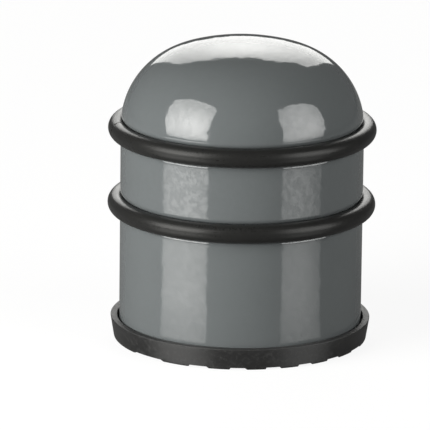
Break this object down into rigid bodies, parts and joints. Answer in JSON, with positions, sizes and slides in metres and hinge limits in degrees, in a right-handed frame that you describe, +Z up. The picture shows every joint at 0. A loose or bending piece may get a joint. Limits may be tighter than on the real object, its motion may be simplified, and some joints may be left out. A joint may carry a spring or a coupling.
{
  "type": "round door stop",
  "caption": "Free-standing round door stop: a weighted, gloss-painted steel body with a domed top, rubber bumper rings in rolled grooves, and a rubber foot with a ribbed tread.",
  "frame": {"origin": "centre of the underside of the foot, in the plane of its tread bars", "axes": "+Z up, along the axis that the shell, rings and foot are turned about; +Y along the tread bars"},
  "size_m": [0.0746, 0.0746, 0.085],
  "materials": {
    "grey_paint": "gloss",
    "mortar": "rough",
    "ring_rubber": "satin",
    "foot_rubber": "satin"
  },
  "bodies": {
    "root": {"shell": "grey_paint", "ballast": "mortar", "upper_ring": "ring_rubber", "lower_ring": "ring_rubber", "foot": "foot_rubber"}
  },
  "joints": []
}
